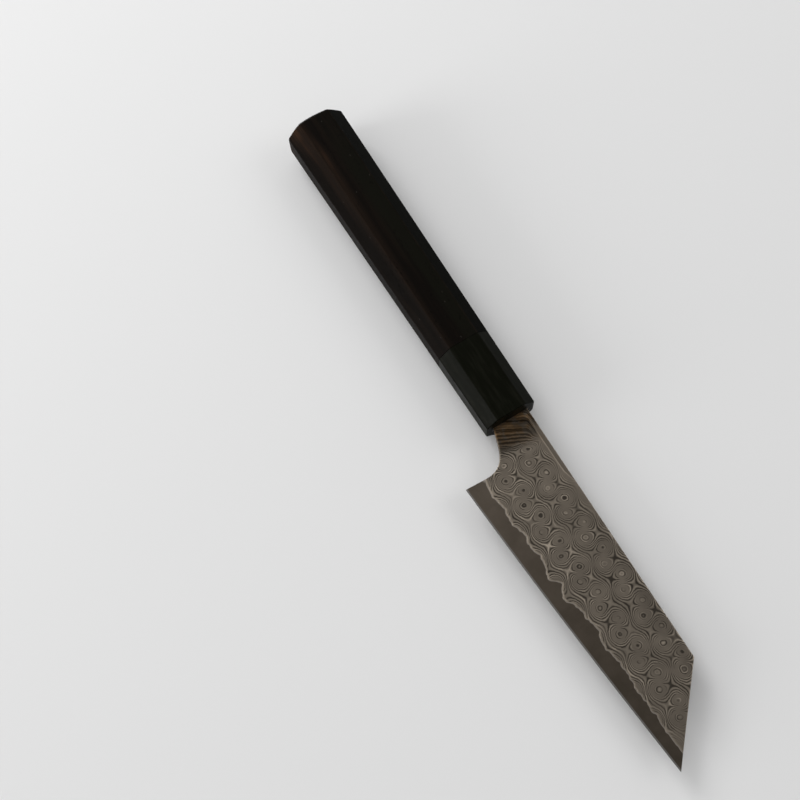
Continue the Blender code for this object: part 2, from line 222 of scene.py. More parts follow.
blade = {
    "edgeLength": 0.0902,  # heel to tip
    "edgeBelly": 0.0005,  # the edge bows out by this
    "edgeRise": math.radians(4.45),
    "spineFall": math.radians(0.30),
    "tipAngle": math.radians(42.0),
    "heelHeight": 0.0267,
    "neckLength": 0.0106,
    "neckHeight": 0.0110,
    "choilLean": 0.0008,
    "choilFall": math.radians(22.0),
    "choilNeckPull": 0.0045,
    "choilFootPull": 0.0075,
    "spineThickness": 0.0019,
    "tipThickness": 0.0010,
    "bevelHeight": 0.00045,
    "bevelThickness": 0.00024,
    "grindRoundness": 1.3,
    "grindRunout": 0.0140,
    "tangEndThickness": 0.0014,
    "tangLength": 0.0744,
    "tangShown": 0.0028,  # drawn this far back into the ferrule
    "rimEase": 0.00022,  # rounding of spine, choil and tip line, across the thickness
    "spineRun": 0.00028,  # and along the face
    "choilRun": 0.00050,
    "runOutEase": 0.00003,  # rounding where the cladding ends
    "easeShare": 0.45,  # a rounding takes at most this much of the cladding's thickness
    "easeReach": 0.2,  # and of a column's length
    "leastSlant": 0.3,
    "spineFacet": 0.00010,  # the spine's polished strip falls away by this
    "facetWidth": 0.00145,
    "facetStart": (0.0035, 0.0065),  # the strip widens here
    "facetEnd": (0.0190, 0.0265),  # and runs out here
    "bladeColumns": 420,
    "choilColumns": 64,
    "neckColumns": 6,
    "faceRows": 14,
    "bandRows": 6,
    "easeRows": 4,
}

layers = {
    "coreThickness": 0.00056,
    "coreTipThickness": 0.00026,
    "cladEdgeThickness": 0.00006,
    "weldGap": 0.00002,
    "weldStepRun": 0.00005,
    "bandHeel": 0.0060,  # height of the bare band above the edge, at the choil
    "bandHeight": 0.0049,
    "bandTip": 0.0035,
    "bandHeelPower": 30,
    "waveFadePower": 8,
    "swells": (  # height, place and spread of each
        (-0.00025, 0.0159, 0.0010),
        (0.00080, 0.0200, 0.0019),
        (0.00115, 0.0292, 0.0018),
        (0.00110, 0.0366, 0.0021),
        (-0.00095, 0.0424, 0.0009),
        (0.00130, 0.0453, 0.0012),
        (-0.00075, 0.0490, 0.0010),
        (0.00125, 0.0540, 0.0021),
        (0.00185, 0.0598, 0.0022),
        (0.00105, 0.0695, 0.0032),
        (0.00070, 0.0748, 0.0022),
        (0.00055, 0.0815, 0.0018),
        (0.00060, 0.0862, 0.0010),
    ),
    "ripples": (  # height, length and the place of one crest
        (0.00012, 0.0031, 0.0205),
        (0.00008, 0.0019, 0.0190),
        (0.00004, 0.0013, 0.0194),
    ),
}

halfNeck = blade["neckHeight"] / 2
edgeAlong = heading(blade["edgeRise"])
edgeUp = Vector((-edgeAlong.y, edgeAlong.x))
spineAlong = heading(-blade["spineFall"])
spineStart = Vector((0.0, halfNeck))
tipUp = Vector((-math.cos(blade["tipAngle"]), math.sin(blade["tipAngle"])))


def spineAt(x):
    return spineStart + spineAlong * (x / spineAlong.x)


heel = spineAt(blade["neckLength"]) - Vector((0.0, blade["heelHeight"]))
tip = heel + edgeAlong * blade["edgeLength"]
shoulder = tip + tipUp * ((spineStart - tip).cross(spineAlong) / tipUp.cross(spineAlong))
weldFirst = blade["choilLean"]
weldLast = blade["edgeLength"] - layers["bandTip"] / math.tan(blade["tipAngle"] + blade["edgeRise"])


def edgeDrop(along):
    share = clamp(along / blade["edgeLength"])
    return blade["edgeBelly"] * 4 * share * (1 - share)


def edgePlace(point):
    # Distance along the edge from the heel, and height above the edge
    away = point - heel
    along = away.dot(edgeAlong)
    return along, away.dot(edgeUp) + edgeDrop(along)


def fromEdge(along, above):
    return heel + edgeAlong * along + edgeUp * (above - edgeDrop(along))


def spineHeight(along):
    startAlong, startAbove = edgePlace(spineStart)
    slope = math.tan(blade["spineFall"] + blade["edgeRise"])
    return startAbove + edgeDrop(along) - slope * (along - startAlong)


def spineFacet(point):
    # The polished strip along the spine near the handle falls away from the face
    (first, full), (last, gone) = blade["facetStart"], blade["facetEnd"]
    grown = smoothStep((point.x - first) / (full - first))
    left = 1 - smoothStep((point.x - last) / (gone - last))
    if grown * left < 1e-6:
        return 0.0
    belowSpine = abs((point - spineStart).cross(spineAlong))
    return blade["spineFacet"] * grown * (1 - clamp(belowSpine / (blade["facetWidth"] * left)))


def halfThickness(point):
    if point.x < 0:
        back = -point.x / blade["tangLength"]
        return blend(blade["spineThickness"], blade["tangEndThickness"], back) / 2
    spineHalf = blend(blade["spineThickness"], blade["tipThickness"], point.x / tip.x) / 2
    along, above = edgePlace(point)
    rise = clamp((above - blade["bevelHeight"]) / (spineHeight(along) - blade["bevelHeight"]))
    swell = 1 - (1 - rise) ** blade["grindRoundness"]
    ground = blend(blade["bevelThickness"] / 2, spineHalf, swell)
    return blend(spineHalf, ground, smoothStep(point.x / blade["grindRunout"])) - spineFacet(point)


def coreHalf(point):
    sheet = blend(layers["coreThickness"], layers["coreTipThickness"], clamp(point.x / tip.x)) / 2
    return min(sheet, halfThickness(point) - layers["weldGap"] - layers["cladEdgeThickness"])


def weldAt(share):
    # The wavy line where the cladding runs out, from the choil to the tip line
    along = blend(weldFirst, weldLast, share)
    x = fromEdge(along, layers["bandHeel"]).x
    wave = sum(high * math.exp(-((x - place) / spread) ** 2 / 2) for high, place, spread in layers["swells"])
    wave += sum(high * math.cos(math.tau * (x - crest) / length) for high, length, crest in layers["ripples"])
    fade = 1 - (2 * share - 1) ** layers["waveFadePower"]
    heelPart = (layers["bandHeel"] - layers["bandHeight"]) * (1 - share) ** layers["bandHeelPower"]
    return fromEdge(along, blend(layers["bandHeight"], layers["bandTip"], share) + heelPart + wave * fade)


def bezier(points, share):
    while len(points) > 1:
        points = [first.lerp(last, share) for first, last in zip(points, points[1:])]
    return points[0]


def choilCurve():
    neck = Vector((0.0, -halfNeck))
    foot = weldAt(0.0)
    neckPull = heading(-blade["choilFall"]) * blade["choilNeckPull"]
    footPull = (foot - heel).normalized() * blade["choilFootPull"]
    return [neck, neck + neckPull, foot + footPull, foot]


def faceColumns():
    # Lower and upper end of each column of the patterned face, and whether its lower end is a rim
    columns = []
    for step in range(blade["neckColumns"]):
        x = -blade["tangShown"] * (1 - step / blade["neckColumns"])
        columns.append((Vector((x, -halfNeck)), Vector((x, halfNeck)), True))
    curve = choilCurve()
    spineFirst = spineAt(curve[-1].x)
    for step in range(blade["choilColumns"]):
        share = step / blade["choilColumns"]
        columns.append((bezier(curve, share), spineStart.lerp(spineFirst, share), True))
    for share, top in upperEnds(spineFirst):
        columns.append((weldAt(share), top, False))
    return columns


def upperEnds(spineFirst):
    # Along the spine to the shoulder, then down the tip line
    last = weldAt(1.0)
    spineLength = (shoulder - spineFirst).length
    tipLength = (last - shoulder).length
    corner = spineLength / (spineLength + tipLength)
    spineCount = round(blade["bladeColumns"] * corner)
    tipCount = blade["bladeColumns"] - spineCount
    ends = []
    for step in range(spineCount):
        ends.append((corner * step / spineCount, spineFirst.lerp(shoulder, step / spineCount)))
    for step in range(tipCount + 1):
        ends.append((blend(corner, 1.0, step / tipCount), shoulder.lerp(last, step / tipCount)))
    return ends


def roundedRows(share, depth):
    # Share of the column from a rim and drop of the surface there, over a quarter round
    angles = [math.pi / 2 * step / blade["easeRows"] for step in range(blade["easeRows"])]
    return [(share * (1 - math.cos(angle)), depth * (1 - math.sin(angle))) for angle in angles]


def columnRows(low, high, lowIsRim):
    # Share of the way up a column, and the drop of the surface there
    column = high - low
    length = max(column.length, 1e-9)
    outline = tipUp if high.x > shoulder.x else spineAlong
    slant = max(abs(column.normalized().cross(outline)), blade["leastSlant"]) if length > 1e-6 else 1.0
    lowEase = lowRun = blade["runOutEase"]
    if lowIsRim:
        lowEase, lowRun = blade["rimEase"], blade["choilRun"]
    lowShare = min(lowRun / length, blade["easeReach"])
    highShare = min(blade["spineRun"] / slant / length, blade["easeReach"])
    longest = length * blade["easeReach"]
    rows = roundedRows(lowShare, min(lowEase, easeRoom(low), longest))
    for step in range(blade["faceRows"] + 1):
        rows.append((blend(lowShare, 1 - highShare, step / blade["faceRows"]), 0.0))
    highRows = roundedRows(highShare, min(blade["rimEase"], easeRoom(high), longest))
    return rows + [(1 - share, drop) for share, drop in reversed(highRows)]


def easeRoom(point):
    return (halfThickness(point) - coreHalf(point)) * blade["easeShare"]


def facePoints(columns, setBack):
    # Places on the patterned face with the surface's drop, set back from the weld line
    grid = {}
    last = len(columns) - 1
    for index, (low, high, lowIsRim) in enumerate(columns):
        if index == last:
            grid[index, 0] = (low + tipUp * setBack, 0.0)
            continue
        start = low if lowIsRim else low + (high - low).normalized() * setBack
        for row, (share, drop) in enumerate(columnRows(start, high, lowIsRim)):
            grid[index, row] = (start.lerp(high, share), drop)
    return grid


def bandPoints(columns):
    # Edge, bevel and rows up to the weld line of the bare core; rows are counted down from -1
    grid = {}
    count = blade["bandRows"]
    for index, (weld, high, lowIsRim) in enumerate(columns):
        if lowIsRim:
            continue
        along, above = edgePlace(weld)
        share = (along - weldFirst) / (weldLast - weldFirst)
        edge = fromEdge(blade["edgeLength"] * share, 0.0)
        bevelShare = blade["bevelHeight"] / above
        grid[index, -count - 2] = edge
        for step in range(count + 1):
            grid[index, -count - 1 + step] = edge.lerp(weld, blend(bevelShare, 1.0, step / count))
    return grid


def quad(index, low, high):
    return [(index, low), (index + 1, low), (index + 1, high), (index, high)]


def gridFaces(columns):
    # Quads between neighbouring columns, and triangles beside the last one, which is a point
    rows = range(2 * blade["easeRows"] + blade["faceRows"])
    last = len(columns) - 1
    faces = []
    for index in range(last):
        for row in rows:
            if index + 1 == last:
                faces.append([(index, row), (last, 0), (index, row + 1)])
            else:
                faces.append(quad(index, row, row + 1))
    return faces


def closedPlate(name, faces, upper, lower, measures):
    # A closed body between two sheets with the same faces; a wall joins their outer edges
    keys = list(upper)
    places = [upper[key] for key in keys]
    top = {key: index for index, key in enumerate(keys)}
    bottom = {}
    for key in keys:
        bottom[key] = top[key] if upper[key] == lower[key] else len(places)
        if bottom[key] == len(places):
            places.append(lower[key])
    polygons = []
    sides = {}
    for corners in faces:
        polygons.append([top[key] for key in corners])
        polygons.append([bottom[key] for key in reversed(corners)])
        for start, end in zip(corners, corners[1:] + corners[:1]):
            sides[start, end] = True
    for start, end in sides:
        if (end, start) not in sides:
            wall = [top[end], top[start], bottom[start], bottom[end]]
            polygons.append([vert for place, vert in enumerate(wall) if vert != wall[place - 1]])
    mesh = bpy.data.meshes.new(name)
    mesh.from_pydata([tuple(place) for place in places], [], [face for face in polygons if len(face) > 2])
    for label, values in measures.items():
        attribute = mesh.attributes.new(label, "FLOAT", "POINT")
        for key in keys:
            attribute.data[top[key]].value = values[key]
            attribute.data[bottom[key]].value = values[key]
    return layPiece(name, mesh)


def raised(point, height):
    return Vector((point.x, point.y, height))


offEdge = 30.0  # millimetres, where a face isn't near the edge
offWeld = 5.0  # and where it isn't near the weld line
heelMargin = 0.001  # metres behind the heel that still count as near the edge


def coreBand():
    columns = faceColumns()
    count = blade["bandRows"]
    upper = {}
    for key, (point, drop) in facePoints(columns, layers["weldStepRun"]).items():
        upper[key] = raised(point, coreHalf(point))
    for key, point in bandPoints(columns).items():
        upper[key] = raised(point, 0.0 if key[1] == -count - 2 else halfThickness(point))
    lower = {key: Vector((place.x, place.y, -place.z)) for key, place in upper.items()}
    faces = gridFaces(columns)
    bare = [index for index, column in enumerate(columns) if not column[2]]
    bandRows = list(range(-count - 2, 0))
    for index in bare[:-1]:
        for low, high in zip(bandRows, bandRows[1:] + [0]):
            faces.append(quad(index, low, high))
    above, below = {}, {}
    for key, place in upper.items():
        point = place.to_2d()
        weld, high, lowIsRim = columns[key[0]]
        above[key] = edgePlace(point)[1] / millimetre if point.x > heel.x - heelMargin else offEdge
        below[key] = -offWeld if lowIsRim else (weld - point).dot(edgeUp) / millimetre
    return closedPlate("coreBand", faces, upper, lower, {"aboveEdge": above, "belowWeld": below})


def patternedCladding(name, side):
    # side is 1 for the right face, which looks up, and -1 for the left face
    columns = faceColumns()
    outer = facePoints(columns, layers["weldGap"])
    inner = facePoints(columns, layers["weldGap"] + layers["weldStepRun"])
    last = (len(columns) - 1, 0)
    outer[last] = inner[last]
    outside, inside, rims, aboveWeld = {}, {}, {}, {}
    for key, (point, drop) in outer.items():
        low, high, lowIsRim = columns[key[0]]
        innerPoint = inner[key][0]
        outside[key] = raised(point, side * (halfThickness(point) - drop))
        inside[key] = raised(innerPoint, side * (coreHalf(innerPoint) + layers["weldGap"]))
        rims[key] = clamp(drop / blade["rimEase"])
        aboveWeld[key] = offWeld if lowIsRim else (point - low).dot(edgeUp) / millimetre
    upper, lower = (outside, inside) if side > 0 else (inside, outside)
    return closedPlate(name, gridFaces(columns), upper, lower, {"rim": rims, "aboveWeld": aboveWeld})


# The handle: one rule lofts the ferrule and the grip from an octagon in front to one behind

handle = {
    "length": 0.1100,
    "ferruleLength": 0.0245,
    "jointGap": 0.00005,
    "frontHeight": 0.0154,
    "frontThickness": 0.0132,
    "frontChamfer": 0.0033,
    "buttHeight": 0.0184,
    "buttThickness": 0.0156,
    "buttChamfer": 0.0043,
    "domeRadius": 0.0350,
    "flatRadius": 1000.0,  # a dome of this radius is flat
    "ridgeRadius": 0.0008,
    "frontEase": 0.00025,
    "jointEase": 0.00008,
    "buttEase": 0.00055,
    "boreRadius": 0.00505,
    "boreDepth": 0.0830,
    "ferruleWall": 0.0043,
    "slotHeight": 0.0116,
    "slotThickness": 0.0025,
    "cutterMargin": 0.001,
    "sideShare": 0.97,  # of the section's size, from where on its ridges are the side's
    "rimShares": (0.93, 0.9995),  # and between which the surface is the rim's
}


def knifePlace():
    # The handle tapers, so on its side it dips the tip a little
    dip = math.atan((handle["buttThickness"] - handle["frontThickness"]) / 2 / handle["length"])
    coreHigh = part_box("blade_core")[1]
    place = Vector((
        coreHigh.x - tip.x * math.cos(dip),
        coreHigh.y - halfNeck,
        handle["frontThickness"] / 2 * math.cos(dip),
    ))
    return Matrix.Translation(place) @ Matrix.Rotation(dip, 4, "Y")


laidDown = knifePlace()


def shapeNode(kind, inputs, **settings):
    return addNode(treeOf(inputs.values()), "GeometryNode" + kind, inputs, **settings)


def octagonLoft():
    inputs = {"Geometry": "Geometry"}
    for end in ("Front", "Back"):
        for label in ("X", "Height", "Thickness", "Chamfer", "Ease"):
            inputs[f"{end} {label}"] = ("Float", 0.01)
    inputs.update({"Ridge Radius": ("Float", 0.001), "Dome Radius": ("Float", 1.0)})
    for label, count in {"Ridge Steps": 4, "Ease Steps": 4, "Flat Cuts": 3, "Length Cuts": 3}.items():
        inputs[label] = ("Int", count)
    inputs["Finish"] = "Material"
    tree, given, result = newGroup("octagonLoft", inputs, {"Geometry": "Geometry"}, "GeometryNodeTree")
    front, back = octagonSection(given, "Front"), octagonSection(given, "Back")
    crest = addNode(tree, "GeometryNodeInputNamedAttribute", {"Name": "crest"})["Attribute"]
    profile, nominal = loftProfile(given)
    around = shapeNode("AttributeDomainSize", {"Geometry": front})["Point Count"]
    rows = shapeNode("AttributeDomainSize", {"Geometry": profile})["Point Count"]
    sizes = {"Size X": 1.0, "Size Y": 1.0, "Vertices X": around + 1.0, "Vertices Y": rows}
    marked = shapeNode("MeshGrid", sizes)
    across, along, flat = parts(addNode(tree, "GeometryNodeInputPosition"))
    column = calc("MODULO", calc("ROUND", (across + 0.5) * around), around)
    row = calc("ROUND", (along + 0.5) * (rows - 1.0))
    x, radius, level = parts(sampled(profile, row))
    shrink = radius / nominal
    least, most = handle["rimShares"]
    ridge = sampled(front, column, crest) * (shrink > handle["sideShare"])
    rim = (shrink > least) * (shrink < most) * (x < (given["Front X"] + given["Back X"]) * 0.5)
    for label, value in (("ridge", ridge), ("backRim", rim)):
        marked = shapeNode("StoreNamedAttribute", {"Geometry": marked, "Name": label, "Value": value})
    place = loftPlace(given, x, shrink, sampled(front, column), sampled(back, column))
    moved = shapeNode("SetPosition", {"Geometry": marked, "Position": place})
    joined = shapeNode("MergeByDistance", {"Geometry": moved, "Distance": 1e-6})
    real = shapeNode("RealizeInstances", {"Geometry": joined})
    feed(result, {"Geometry": shapeNode("SetMaterial", {"Geometry": real, "Material": given["Finish"]})})
    return tree


def filleted(curve, count, radius):
    return shapeNode("FilletCurve", {"Curve": curve, "Count": count, "Radius": radius}, mode="POLY")


def cutCurve(curve, cuts):
    # The curve with further points, as edges of a mesh
    return shapeNode("CurveToMesh", {"Curve": shapeNode("SubdivideCurve", {"Curve": curve, "Cuts": cuts})})


def octagonSection(given, end):
    # A rectangle with its corners cut off and its eight ridges eased, as points in a ring
    box = {"Width": given[end + " Height"], "Height": given[end + " Thickness"]}
    corners = filleted(shapeNode("CurvePrimitiveQuadrilateral", box), 1, given[end + " Chamfer"])
    ridges = filleted(corners, given["Ridge Steps"], given["Ridge Radius"])
    index = addNode(given.tree, "GeometryNodeInputIndex")
    along = calc("MODULO", index, given["Ridge Steps"] + 1.0) / given["Ridge Steps"]
    crest = 1.0 - calc("ABSOLUTE", along * 2.0 - 1.0)
    kept = shapeNode("StoreNamedAttribute", {"Geometry": ridges, "Name": "crest", "Value": crest})
    return cutCurve(kept, given["Flat Cuts"])


def loftProfile(given):
    # From the axis out to the front rim, back along the side, and in to the axis again
    frontX, backX = given["Front X"], given["Back X"]
    nominal = given["Front Thickness"] * 0.5
    corners = {}
    for place, (x, radius) in enumerate([(frontX, 0.0), (frontX, nominal), (backX, nominal), (backX, 0.0)]):
        corners[f"Point {place + 1}"] = addNode(given.tree, "ShaderNodeCombineXYZ", {0: x, 1: radius})
    outline = shapeNode("CurvePrimitiveQuadrilateral", corners, mode="POINTS")
    x, radius, level = parts(addNode(given.tree, "GeometryNodeInputPosition"))
    ease = mixed(x > (frontX + backX) * 0.5, given["Back Ease"], given["Front Ease"])
    eased = filleted(outline, given["Ease Steps"], ease * (radius > 1e-6))
    opened = shapeNode("SetSplineCyclic", {"Geometry": eased, "Cyclic": False})
    return cutCurve(opened, given["Length Cuts"]), nominal


def sampled(source, index, value=None):
    # A place, or a number, of one point of the source
    form = "FLOAT" if value else "FLOAT_VECTOR"
    value = value or addNode(source.tree, "GeometryNodeInputPosition")
    inputs = {"Geometry": source, "Value": value, "Index": index}
    return shapeNode("SampleIndex", inputs, data_type=form)["Value"]


def loftPlace(given, x, shrink, frontPoint, backPoint):
    # The section at x, drawn in by shrink, and moved forward by the dome's fall towards its rim
    length = given["Back X"] - given["Front X"]

    def sectionAt(reach):
        share = (reach - given["Front X"]) / length
        ends = {0: share, 4: frontPoint, 5: backPoint}
        return share, addNode(given.tree, "ShaderNodeMix", ends, data_type="VECTOR")[1] * shrink

    share, rough = sectionAt(x)
    lift = calc("POWER", calc("LENGTH", rough), 2.0) / (given["Dome Radius"] * 2.0)
    reach = lift * share + x
    high, deep, level = parts(sectionAt(reach)[1])
    return addNode(given.tree, "ShaderNodeCombineXYZ", {0: reach, 1: high, 2: deep})


def lofted(name, tree, frontX, backX, eases, domeRadius, finish):
    values = {"Front X": frontX, "Back X": backX, "Front Ease": eases[0], "Back Ease": eases[1]}
    for end, x in (("Front", frontX), ("Back", backX)):
        for label in ("Height", "Thickness", "Chamfer"):
            size = blend(handle["front" + label], handle["butt" + label], -x / handle["length"])
            values[f"{end} {label}"] = size
    values.update({"Ridge Radius": handle["ridgeRadius"], "Dome Radius": domeRadius, "Finish": finish})
    host = newObject(name + "Host", bpy.data.meshes.new(name + "Host"))
    loft = host.modifiers.new("loft", "NODES")
    loft.node_group = tree
    for socket in tree.interface.items_tree:
        if socket.in_out == "INPUT" and socket.name in values:
            loft[socket.identifier] = values[socket.name]
    shape = settledMesh(host)
    host.modifiers.clear()
    bpy.data.objects.remove(host)
    shape.name = name
    return shape


def boxCutter(name, low, high):
    shape = bmesh.new()
    bmesh.ops.create_cube(shape, size=1.0)
    for vert in shape.verts:
        vert.co = [blend(first, last, part + 0.5) for first, last, part in zip(low, high, vert.co)]
    return looseObject(name, shape)


def roundCutter(name, back, front, radius, sides=96):
    shape = bmesh.new()
    turned = Matrix.Translation(((back + front) / 2, 0, 0)) @ Matrix.Rotation(math.pi / 2, 4, "Y")
    sizes = {"segments": sides, "radius1": radius, "radius2": radius, "depth": front - back}
    bmesh.ops.create_cone(shape, cap_ends=True, matrix=turned, **sizes)
    return looseObject(name, shape)


def hollowed(name, mesh, cutters):
    # The mesh laid down with the cutters taken out of it; flats stay flat beside narrow ridges
    block = newObject(name + "Block", mesh)
    for cutter in cutters:
        block.modifiers.new(cutter.name, "BOOLEAN").object = cutter
    result = settledMesh(block)
    for spare in [block, *cutters]:
        bpy.data.objects.remove(spare)
    piece = layPiece(name, result)
    weigh = piece.modifiers.new("weighFlats", "WEIGHTED_NORMAL")
    weigh.keep_sharp = True
    weigh.weight = 100
    return piece


def ferrule(tree, finish):
    back = -handle["ferruleLength"]
    eases = (handle["frontEase"], handle["jointEase"])
    mesh = lofted("hornFerrule", tree, 0.0, back, eases, handle["flatRadius"], finish)
    wall, margin = handle["ferruleWall"], handle["cutterMargin"]
    bore = roundCutter("ferruleBore", back - margin, -wall, handle["boreRadius"])
    high, deep = handle["slotHeight"] / 2, handle["slotThickness"] / 2
    slot = boxCutter("ferruleSlot", (-wall - margin, -high, -deep), (margin, high, deep))
    return hollowed("hornFerrule", mesh, [bore, slot])


def grip(tree, finish):
    front = -handle["ferruleLength"] - handle["jointGap"]
    eases = (handle["jointEase"], handle["buttEase"])
    mesh = lofted("ebonyGrip", tree, front, -handle["length"], eases, handle["domeRadius"], finish)
    margin = handle["cutterMargin"]
    bore = roundCutter("gripBore", -handle["boreDepth"], front + margin, handle["boreRadius"])
    return hollowed("ebonyGrip", mesh, [bore])


# Shader groups; lengths are millimetres in the knife's own frame

flatten = (1.0, 1.0, 0.0)


def knifeCoordinates(tree, shift=(0.0, 0.0, 0.0)):
    back = laidDown.inverted()
    inputs = {
        "Vector": addNode(tree, "ShaderNodeTexCoord")["Object"],
        "Location": [value / millimetre + extra for value, extra in zip(back.to_translation(), shift)],
        "Rotation": back.to_euler(),
        "Scale": [1 / millimetre] * 3,
    }
    return addNode(tree, "ShaderNodeMapping", inputs)


raindrops = {
    "firstDrop": (9.88, -0.43, 0.0),
    "nextInRow": (8.35, 0.45, 0.0),
    "nextRow": (0.82, -8.15, 0.0),
    "lowerPartner": (3.50, -2.40, 0.0),  # pressed from the other side
    "width": 2.32,
    "widthSpread": 0.14,  # from drop to drop
    "depthSpread": 0.22,
    "sheets": 5.0,  # layers cut through from a drop's middle to the land
    "tilt": 0.58,  # layers a millimetre that the whole stack falls towards the edge
    "plainFrom": (0.34, 0.58),  # share of a drop's height where its rings grow faint
    "dotFrom": (0.72, 0.88),
    "crowded": (1.9, 3.1),  # layers a millimetre; thinner ones run together from here on
    "faintest": 0.12,
    "boldness": (0.40, 1.0),  # of the faintest and of the boldest layer
    "swell": (1.8, 0.13),  # layers, and waves a millimetre
    "drift": (1.0, 0.11),  # millimetres, and waves a millimetre
    "wobble": (0.44, 1.1),
    "neckEnd": (8.2, 2.5),  # lines across the neck give way to drops; the bend there
    "neckBlend": (7.6, 10.2),
    "neckSkew": 0.4,
    "neckLean": 0.48,
    "neckTurn": 2.6,  # layers turn along the spine this much faster
    "neckTurnStart": 0.2,  # millimetres above the lower edge of the strip along the spine
    "neckTurnRun": (7.0, 12.0, 0.0, 12.0),  # and later where the blade grows higher
    "neckCorner": 4.0,  # roundness of that turn
    "neckSteep": 1.1,  # leaning lines lie this much closer
    "neckStart": 0.47,
    "neckLines": 0.30,  # a millimetre, at the ferrule
    "neckCrowding": 0.100,
    "neckCrowdedFrom": 3.0,
    "neckBoldness": (0.35, 0.72),
    "neckFine": (0.0, 0.6, 0.60, 0.0),  # thinner lines amid the bold ones
    "neckFineness": 3.6,  # as many thin lines to a bold one
}


def latticeDuals():
    along, down = Vector(raindrops["nextInRow"]), Vector(raindrops["nextRow"])
    area = along.x * down.y - along.y * down.x
    return (down.y / area, -down.x / area, 0.0), (-along.y / area, along.x / area, 0.0)


def pressedDrop():
    # Height and slope at a place from one drop of the lattice
    inputs = {"Fraction": "Vector", "Cell": "Vector", "Corner": "Vector", "Seed": "Float"}
    tree, given, result = newGroup("pressedDrop", inputs, {"Height": "Float", "Slope": "Vector"})
    drop = raindrops
    along, down, level = parts(given["Fraction"] - given["Corner"])
    away = along * drop["nextInRow"] + down * drop["nextRow"]
    cell = {"Vector": given["Cell"] + given["Corner"], "W": given["Seed"]}
    chance = addNode(tree, "ShaderNodeTexWhiteNoise", cell, noise_dimensions="4D")
    width = (chance["Value"] - 0.5) * (drop["width"] * drop["widthSpread"]) + drop["width"]
    square = width * width
    depth = (parts(chance["Color"])[0] - 0.5) * drop["depthSpread"] + 1.0
    height = calc("EXPONENT", calc("DOT_PRODUCT", away, away) / square * -1.0) * depth
    feed(result, {"Height": height, "Slope": away * (height * 2.0 / square)})


def dropSheet(place, start, seed):
    # Height and slope from the four drops of one lattice round a place
    away = place - start
    steps = {axis: calc("DOT_PRODUCT", away, dual) for axis, dual in enumerate(latticeDuals())}
    steps = addNode(place.tree, "ShaderNodeCombineXYZ", steps)
    cell = calc("FLOOR", steps)
    given = {"Fraction": steps - cell, "Cell": cell, "Seed": seed}
    drops = [useGroup("pressedDrop", {**given, "Corner": (x, y, 0)}) for y in (0, 1) for x in (0, 1)]
    height, slope = drops[0]["Height"], drops[0]["Slope"]
    for drop in drops[1:]:
        height = height + drop["Height"]
        slope = slope + drop["Slope"]
    return height, slope


def raindropLayers():
    # Contour lines of a forged stack of steels, pressed up and down by turns in rows of drops,
    # with lines across the neck
    outputs = {"Lines": "Float", "Neck": "Float"}
    tree, given, result = newGroup("raindropLayers", {"Place": "Vector", "Seed": "Float"}, outputs)
    drop = raindrops
    flat = given["Place"] * flatten
    drift = (noise(flat, drop["drift"][1], 1.0)["Color"] - 0.5) * drop["drift"][0]
    wobble = (noise(flat, drop["wobble"][1], 2.0)["Color"] - 0.5) * drop["wobble"][0]
    warped = flat + (drift + wobble)
    partner = tuple(Vector(drop["firstDrop"]) + Vector(drop["lowerPartner"]))
    up, upSlope = dropSheet(warped, drop["firstDrop"], given["Seed"])
    down, downSlope = dropSheet(warped, partner, given["Seed"] + 1.0)
    height = up - down
    across, onBlade, acrossSteep = neckLines(warped)
    steep = calc("LENGTH", (upSlope - downSlope) * drop["sheets"] + (0.0, drop["tilt"], 0.0))
    steep = mixed(onBlade, acrossSteep, steep)
    swell = (noise(flat, drop["swell"][1], 1.0) - 0.5) * drop["swell"][0]
    rings = height * drop["sheets"] - parts(warped)[1] * drop["tilt"] + swell
    phase = rings * onBlade + across
    sheet = {"W": phase * 2.0, "Scale": 1.0, "Detail": 0.0}
    sheet = addNode(tree, "ShaderNodeTexNoise", sheet, noise_dimensions="1D")
    faint, bold = [mixed(onBlade, neck, rest) for neck, rest in zip(drop["neckBoldness"], drop["boldness"])]
    boldness = mixed(remap(sheet, 0.25, 0.75), faint, bold)
    size = calc("ABSOLUTE", height) * onBlade
    plain = remap(size, *drop["plainFrom"], 1.0, drop["faintest"])
    plain = calc("MAXIMUM", plain, remap(size, *drop["dotFrom"]))
    strength = plain * remap(steep, *drop["crowded"], 1.0, drop["faintest"])
    fine = calc("SINE", phase * (math.tau * drop["neckFineness"]))
    wave = calc("SINE", phase * math.tau) + fine * remap(onBlade, *drop["neckFine"])
    feed(result, {"Lines": wave * strength * boldness, "Neck": 1.0 - onBlade})


def neckLines(place):
    # Lines across the neck lean forward and turn along the spine; they end where the drops begin
    drop = raindrops
    x, y, level = parts(place)
    belowStrip = (halfNeck - blade["facetWidth"]) / millimetre + drop["neckTurnStart"]
    leaning = x - y * drop["neckLean"]
    turned = (belowStrip - y) * drop["neckTurn"] + remap(x, *drop["neckTurnRun"])
    along = calc("SMOOTH_MIN", leaning, turned, drop["neckCorner"])
    along = calc("SMOOTH_MIN", along, *drop["neckEnd"])
    crowded = calc("MAXIMUM", along - drop["neckCrowdedFrom"], 0.0)
    phase = crowded * crowded * drop["neckCrowding"] + along * drop["neckLines"] + drop["neckStart"]
    onBlade = remap(x - y * drop["neckSkew"], *drop["neckBlend"])
    steep = remap(leaning - turned, -1.0, 1.0, drop["neckSteep"], drop["neckTurn"])
    return phase, onBlade, steep * (crowded * (2 * drop["neckCrowding"]) + drop["neckLines"])


grainNoise = {  # scale, detail and roughness
    "scratches": (1.0, 4.0, 0.65),
    "blotches": (0.16, 4.0, 0.60),
    "bands": (1.0, 3.0, 0.60),
    "fibres": (1.0, 3.0, 0.70),
    "wornPatches": (0.35, 4.0, 0.60),
    "smudges": (0.11, 5.0, 0.65),
}

